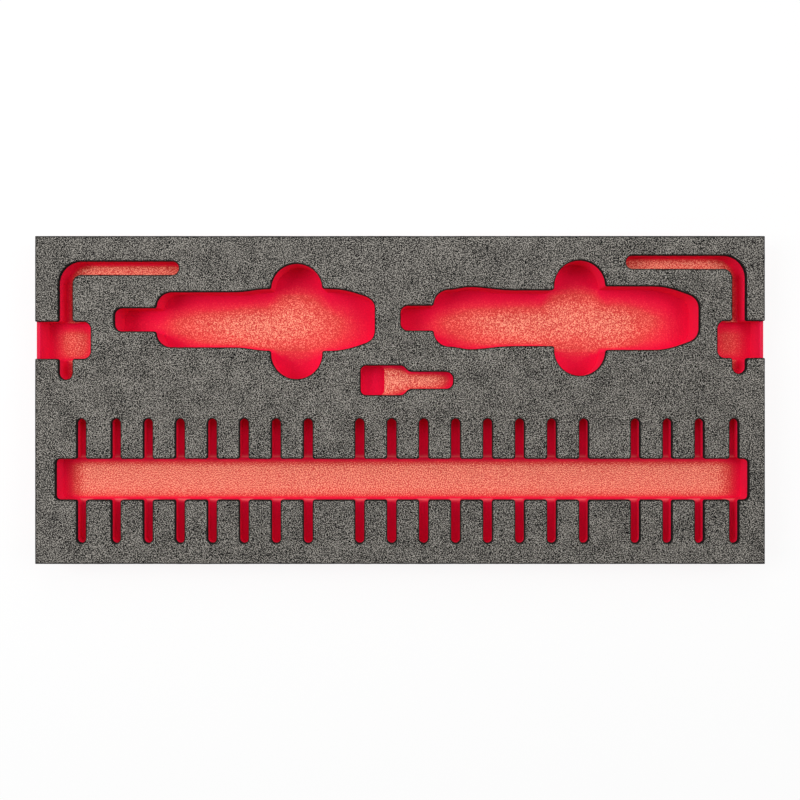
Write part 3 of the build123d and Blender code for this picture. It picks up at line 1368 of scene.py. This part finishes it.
@dataclass(frozen=True)
class FoamGrain:
    """The unevenness of a foam, and the small torn cells that stand up from it, grown over its mesh.

    Sizes are in metres. The torn cells are nibs: flattened balls of random sizes, in shares of the nib's
    radius, and of random turns up to the nib's turn, in radians.
    """

    cell_size: float = 0.0045
    cell_depth: float = 0.00010
    swell_size: float = 0.040
    swell_depth: float = 0.00012
    nib_spacing: float = 0.0045
    nib_density: float = 9000.0
    nib_radius: float = 0.00026
    smallest_nib: Triple = (0.6, 0.5, 0.3)
    largest_nib: Triple = (2.0, 1.2, 0.7)
    nib_turn: Triple = (0.3, 0.3, 6.3)
    seed: int = 3
    swell_seed: int = 11
    nib_size_seed: int = 5
    nib_turn_seed: int = 6

    def inputs(self) -> dict[str, float | int]:
        """The named inputs of the node tree, and their values."""
        return {
            "Cell size": self.cell_size,
            "Cell depth": self.cell_depth,
            "Swell size": self.swell_size,
            "Swell depth": self.swell_depth,
            "Nib spacing": self.nib_spacing,
            "Nib density": self.nib_density,
            "Nib radius": self.nib_radius,
            "Seed": self.seed,
        }

    def grow(self, piece: bpy.types.Object, finish: bpy.types.Material, nibs: bool) -> bpy.types.Object:
        """Grows the grain and leaves the piece a plain mesh.

        Args:
            piece: The foam.
            finish: Its material.
            nibs: Whether torn cells stand up from its top.

        Returns:
            The same piece, with its new mesh.
        """
        group, identifiers = self.tree(finish, nibs)
        modifier = piece.modifiers.new("grain", "NODES")
        modifier.node_group = group
        for name, value in self.inputs().items():
            modifier[identifiers[name]] = value
        graph = bpy.context.evaluated_depsgraph_get()
        evaluated = piece.evaluated_get(graph)
        mesh = bpy.data.meshes.new_from_object(evaluated, preserve_all_data_layers=True, depsgraph=graph)
        piece.modifiers.clear()
        old_mesh = piece.data
        piece.data = mesh
        bpy.data.meshes.remove(old_mesh)
        mesh.name = piece.name
        return piece

    def tree(self, finish: bpy.types.Material, nibs: bool) -> tuple[bpy.types.NodeTree, dict[str, str]]:
        """Builds the node tree.

        Args:
            finish: The material that it sets.
            nibs: Whether torn cells stand up from the top.

        Returns:
            The tree, and the identifier of each named input.
        """
        group = bpy.data.node_groups.new("foam_grain", "GeometryNodeTree")
        tree = Tree(group)
        group.interface.new_socket("Geometry", in_out="OUTPUT", socket_type="NodeSocketGeometry")
        group.interface.new_socket("Geometry", in_out="INPUT", socket_type="NodeSocketGeometry")
        identifiers = {}
        for name, value in self.inputs().items():
            kind = "NodeSocketInt" if isinstance(value, int) else "NodeSocketFloat"
            identifiers[name] = group.interface.new_socket(name, in_out="INPUT", socket_type=kind).identifier
        start = tree.add("NodeGroupInput")
        inputs = {socket.name: Socket(tree, socket) for socket in start.link.node.outputs if socket.name}
        seed = inputs["Seed"]
        place = tree.add("GeometryNodeInputPosition")
        normal = tree.add("GeometryNodeInputNormal")
        cells = self.waves(tree, place, inputs["Cell size"], seed) * inputs["Cell depth"]
        swell = self.waves(tree, place, inputs["Swell size"], seed + self.swell_seed) * inputs["Swell depth"]
        offset = tree.dim(normal, (cells + swell) * self.named(tree, "relief"))
        whole = tree.add("GeometryNodeSetPosition", None, {"Geometry": inputs["Geometry"], "Offset": offset})
        if nibs:
            joined = tree.add("GeometryNodeJoinGeometry")
            for part in (self.nibs(tree, whole, inputs), whole):
                tree.nodes.links.new(part.link, joined.link.node.inputs[0])
            whole = joined
        plain = tree.add("GeometryNodeRealizeInstances", None, {"Geometry": whole})
        dressed = tree.add("GeometryNodeSetMaterial", None, {"Geometry": plain, "Material": finish})
        tree.add("NodeGroupOutput", None, {0: dressed})
        return group, identifiers

    @staticmethod
    def named(tree: Tree, name: str) -> Socket:
        """The value of a mesh's own attribute, in Geometry Nodes."""
        return tree.add("GeometryNodeInputNamedAttribute", {"data_type": "FLOAT"}, {"Name": name})

    @staticmethod
    def waves(tree: Tree, place: Socket, size: Socket, seed: Socket) -> Socket:
        """Noise over the foam.

        Args:
            tree: The tree to build in.
            place: The place on the foam.
            size: How large the noise's features are, in metres.
            seed: A whole number that picks the noise.

        Returns:
            The noise, from -1 to 1.
        """
        values = {"Vector": place, "W": seed, "Scale": 1.0 / size}
        noise = tree.add("ShaderNodeTexNoise", {"noise_dimensions": "4D"}, values, "Fac")
        return noise * 2.0 - 1.0

    def nibs(self, tree: Tree, surface: Socket, inputs: dict[str, Socket]) -> Socket:
        """Small torn cells, scattered over the top of the foam.

        Args:
            tree: The tree to build in.
            surface: The foam's mesh.
            inputs: The tree's inputs by name.

        Returns:
            The cells as instances.
        """
        halfway = 0.5
        kind = self.named(tree, "surface")
        weight = self.named(tree, "relief")
        values = {
            "Mesh": surface,
            "Selection": kind.math("LESS_THAN", kind, halfway) * kind.math("GREATER_THAN", weight, halfway),
            "Distance Min": inputs["Nib spacing"],
            "Density Max": inputs["Nib density"],
            "Seed": inputs["Seed"],
        }
        spread = tree.add("GeometryNodeDistributePointsOnFaces", {"distribute_method": "POISSON"}, values)
        ball = {"Radius": inputs["Nib radius"], "Subdivisions": 1}
        ranges = {"data_type": "FLOAT_VECTOR"}
        sizes = {0: self.smallest_nib, 1: self.largest_nib, "Seed": self.nib_size_seed}
        turns = {0: (0.0, 0.0, 0.0), 1: self.nib_turn, "Seed": self.nib_turn_seed}
        sharp = tree.add("GeometryNodeMeshIcoSphere", None, ball)
        placed = {
            "Points": spread,
            "Instance": tree.add("GeometryNodeSetShadeSmooth", None, {0: sharp}),
            "Rotation": tree.add("FunctionNodeRandomValue", ranges, turns),
            "Scale": tree.add("FunctionNodeRandomValue", ranges, sizes),
        }
        return tree.add("GeometryNodeInstanceOnPoints", None, placed)


# The two foams


@dataclass
class Foam:
    """What the two foams share. The nodes are the frame's, and sizes are in millimetres."""

    nodes: dict[str, bpy.types.Object]
    finish: FoamFinish
    grain: FoamGrain
    spacing: float
    line_spacing: float
    wall_spacing: float
    rim_radius: float = 0.55
    corner_radius: float = 1.2
    outer_corner_radius: float = 0.7
    joint_groove: float = 0.15

    def plan(self, node: str, rim_radius: dict[float, float], **more: Any) -> CutPlan:
        """Draws the foam's plan.

        Args:
            node: The name of the node that the foam follows.
            rim_radius: The radius of the rims at each level.
            more: What only one of the foams has.

        Returns:
            The plan.
        """
        return CutPlan(
            node=self.nodes[node],
            spacing=self.spacing,
            line_spacing=self.line_spacing,
            corner_radius=self.corner_radius,
            outer_corner_radius=self.outer_corner_radius,
            rim_radius=rim_radius,
            **more,
        )


@dataclass
class TopSheet(Foam):
    """The grey sheet, cut right through wherever a tool lies.

    Behind the cutter it springs back a little, so that its cut edge hangs over the red walls.
    """

    finish: GreyFoam = GreyFoam()
    grain: FoamGrain = FoamGrain()
    spacing: float = 1.45
    line_spacing: float = 1.2
    wall_spacing: float = 0.9
    overhang: float = 0.5

    def build(self) -> bpy.types.Object:
        """Makes the sheet.

        Returns:
            The sheet, with its grain and finish.
        """
        low, high = (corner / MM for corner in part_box("top_sheet"))
        shape = FoamShape(
            plan=self.plan("top_sheet", {round(high.z, 2): self.rim_radius}, overhang=self.overhang),
            bottom=low.z,
            bottom_rim=self.joint_groove,
            wall_spacing=self.wall_spacing,
            bottom_spacing=self.spacing,
            bottom_has_pockets=True,
        )
        return self.grain.grow(shape.build("grey_top_sheet"), self.finish.material(), nibs=True)


@dataclass
class BaseBlock(Foam):
    """The red block, with the lower part of every pocket cut into it by a milling cutter.

    Depths are below the top of the sheet. Each floor's depth has the length over which the painted light on
    its floor fades to painted shade.
    """

    finish: RedFoam = RedFoam()
    grain: FoamGrain = FoamGrain(seed=8)
    spacing: float = 1.5
    line_spacing: float = 1.3
    wall_spacing: float = 2.0
    bottom_rim: float = 0.35
    bottom_spacing: float = 6.0
    painted_light_lengths: tuple[tuple[float, float], ...] = (
        (24.5, 58.0),
        (19.5, 25.0),
        (16.5, 7.5),
        (16.0, 18.0),
        (15.5, 90.0),
        (10.5, 90.0),
        (9.5, 12.5),
    )
    lip_depths: tuple[float, ...] = (10.5,)

    def build(self) -> bpy.types.Object:
        """Makes the block.

        Returns:
            The block, with its grain and finish.
        """
        low, high = (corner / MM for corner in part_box("base_block"))
        top = round(high.z, 2)
        sheet_top = (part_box("top_sheet")[1] / MM).z
        lengths = {round(sheet_top - depth, 2): length for depth, length in self.painted_light_lengths}
        rim_radius = {**dict.fromkeys(lengths, self.rim_radius), top: self.joint_groove}
        plan = self.plan("base_block", rim_radius, hidden_levels=(top,))
        # Painted light on the floors, worked out from how far away the walls of both foams are.
        fading = PaintedFloorLight(
            solids=tuple(read_cut_lines(self.nodes[name])[1] for name in ("base_block", "top_sheet")),
            low_corner=plan.low_corner,
            high_corner=plan.high_corner,
            lengths=lengths,
            lip_levels={round(sheet_top - depth, 2) for depth in self.lip_depths},
        )
        shape = FoamShape(
            plan=plan,
            bottom=low.z,
            bottom_rim=self.bottom_rim,
            wall_spacing=self.wall_spacing,
            bottom_spacing=self.bottom_spacing,
            bottom_has_pockets=False,
            fading=fading,
        )
        return self.grain.grow(shape.build("red_base_block"), self.finish.material(), nibs=False)


# The studio


@dataclass(frozen=True)
class Softbox:
    """A large square lamp that shines at the middle of the object.

    Azimuth 0 is in front of it and 90 to its right, in degrees. Sizes are in metres and the power in watts.
    """

    name: str
    azimuth: float
    elevation: float
    distance: float
    size: float
    power: float

    def hang(self, target: Vector) -> None:
        """Hangs the lamp.

        Args:
            target: The place it shines at.
        """
        lamp = bpy.data.lights.new(self.name, "AREA")
        lamp.shape = "SQUARE"
        lamp.size = self.size
        lamp.energy = self.power
        azimuth = math.radians(self.azimuth)
        elevation = math.radians(self.elevation)
        level = math.cos(elevation)
        away = Vector((math.sin(azimuth) * level, -math.cos(azimuth) * level, math.sin(elevation)))
        box = link_object(self.name, lamp)
        box.location = target + away * self.distance
        box.rotation_mode = "QUATERNION"
        box.rotation_quaternion = (-away).to_track_quat("-Z", "Y")


@dataclass(frozen=True)
class Studio:
    """A white table under soft light, with the camera straight above the insert. Sizes are in metres."""

    camera_height: float = 0.597
    picture_width: float = 0.5751
    camera_reach: float = 10.0
    floor_size: float = 6.0
    floor_gap: float = 0.0002
    fill: float = 0.27
    lamps: tuple[Softbox, ...] = (
        Softbox("left_softbox", azimuth=-98.0, elevation=50.0, distance=1.2, size=0.6, power=9.4),
        Softbox("right_softbox", azimuth=98.0, elevation=50.0, distance=1.2, size=0.6, power=6.4),
        Softbox("back_softbox", azimuth=180.0, elevation=50.0, distance=0.70, size=0.5, power=1.75),
    )

    def build(self, low: Vector, high: Vector) -> None:
        """Sets up the table, the light and the camera.

        Args:
            low: The object's lowest corner.
            high: Its highest corner.
        """
        middle = (low + high) / 2
        scene = bpy.context.scene
        scene.view_settings.view_transform = "Standard"
        self.lay_floor(low.z - self.floor_gap)
        self.light_world(scene)
        for lamp in self.lamps:
            lamp.hang(middle)
        lens = bpy.data.cameras.new("camera_above")
        lens.angle = 2 * math.atan(self.picture_width / 2 / self.camera_height)
        lens.clip_end = self.camera_reach
        camera = link_object("camera_above", lens)
        camera.location = (middle.x, middle.y, high.z + self.camera_height)
        scene.camera = camera

    def lay_floor(self, height: float) -> None:
        """Lays the table top.

        Args:
            height: How high it lies, in metres.
        """
        mesh = bpy.data.meshes.new("table_top")
        half = self.floor_size / 2
        corners = [(-half, -half, height), (half, -half, height), (half, half, height), (-half, half, height)]
        mesh.from_pydata(corners, [], [(0, 1, 2, 3)])
        mesh.materials.append(Floor().material())
        link_object("table_top", mesh)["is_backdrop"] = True

    def light_world(self, scene: bpy.types.Scene) -> None:
        """Gives the scene an even fill, and white where the camera looks past the table.

        Args:
            scene: The scene.
        """
        world = bpy.data.worlds.new("studio_fill")
        world.use_nodes = True
        tree = Tree(world.node_tree)
        strength = tree.seen_directly() * (1.0 - self.fill) + self.fill
        light = tree.add("ShaderNodeBackground", None, {"Color": (1.0, 1.0, 1.0, 1.0), "Strength": strength})
        tree.add("ShaderNodeOutputWorld", None, {"Surface": light})
        scene.world = world


def main() -> None:
    """Builds the two foams around the frame, and the studio around them."""
    logging.basicConfig(level=logging.INFO, format="%(message)s")
    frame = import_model()
    frame_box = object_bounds()
    foams = (
        (TopSheet(frame["nodes"]), "top_sheet", "grey_foam"),
        (BaseBlock(frame["nodes"]), "base_block", "red_foam"),
    )
    for foam, node, slot in foams:
        piece = foam.build()
        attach(piece, "root")
        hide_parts(node)
        triangles = sum(len(face.vertices) - 2 for face in piece.data.polygons)
        LOG.info("%s: %d vertices, %d triangles", piece.name, len(piece.data.vertices), triangles)
    Studio().build(*frame_box)


if __name__ == "__main__":
    main()
